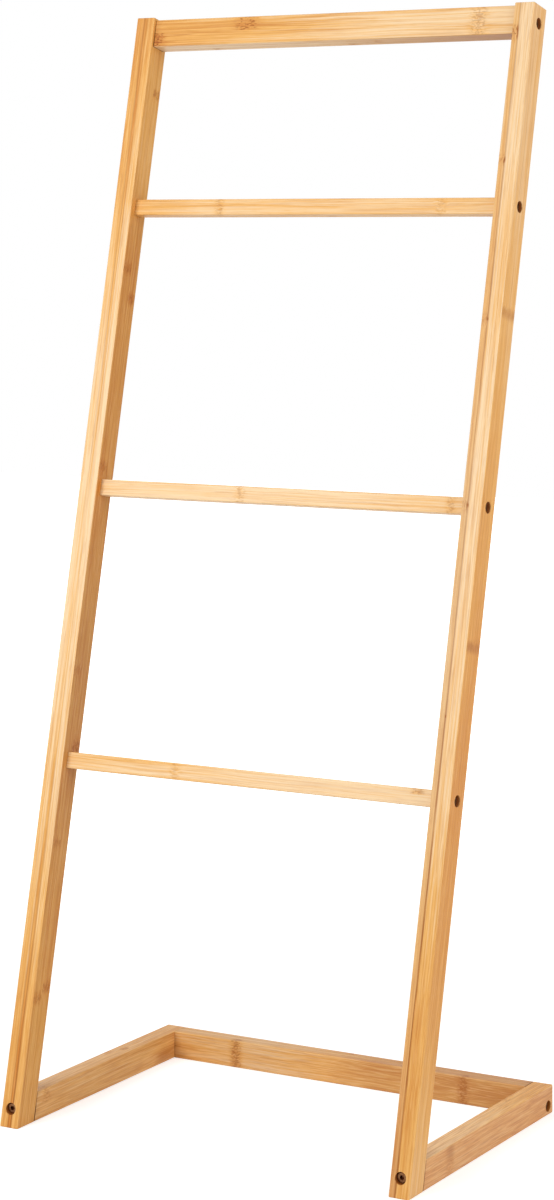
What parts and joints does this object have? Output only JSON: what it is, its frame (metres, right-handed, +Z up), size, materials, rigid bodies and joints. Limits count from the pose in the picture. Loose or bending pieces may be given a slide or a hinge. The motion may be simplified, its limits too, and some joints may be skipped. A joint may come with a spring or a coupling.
{
  "type": "towel ladder",
  "caption": "Free-standing leaning towel ladder of rounded bamboo bars, with a top rail and rungs between two stiles and a U-shaped foot on the floor.",
  "frame": {"origin": "on the floor, in the middle of the base's width and depth", "axes": "+X along the rungs to the right as seen from the front, +Y from the front to the back, +Z up"},
  "size_m": [0.43, 0.2978, 1.0448],
  "materials": {
    "bamboo": "satin clear lacquer",
    "screw_steel": "dark bronze plating, rubbed bright in places",
    "dowel_wood": "raw"
  },
  "bodies": {
    "root": {"left_stile": "bamboo", "right_stile": "bamboo", "top_rail": "bamboo", "upper_rung": "bamboo", "middle_rung": "bamboo", "lower_rung": "bamboo", "left_floor_rail": "bamboo", "right_floor_rail": "bamboo", "rear_crossbar": "bamboo", "top_rail_screws": "screw_steel", "upper_rung_screws": "screw_steel", "middle_rung_screws": "screw_steel", "lower_rung_screws": "screw_steel", "foot_screws": "screw_steel", "crossbar_screws": "screw_steel", "left_top_rail_dowel": "dowel_wood", "right_top_rail_dowel": "dowel_wood", "left_foot_dowel": "dowel_wood", "right_foot_dowel": "dowel_wood", "left_crossbar_dowel": "dowel_wood", "right_crossbar_dowel": "dowel_wood"}
  },
  "joints": []
}
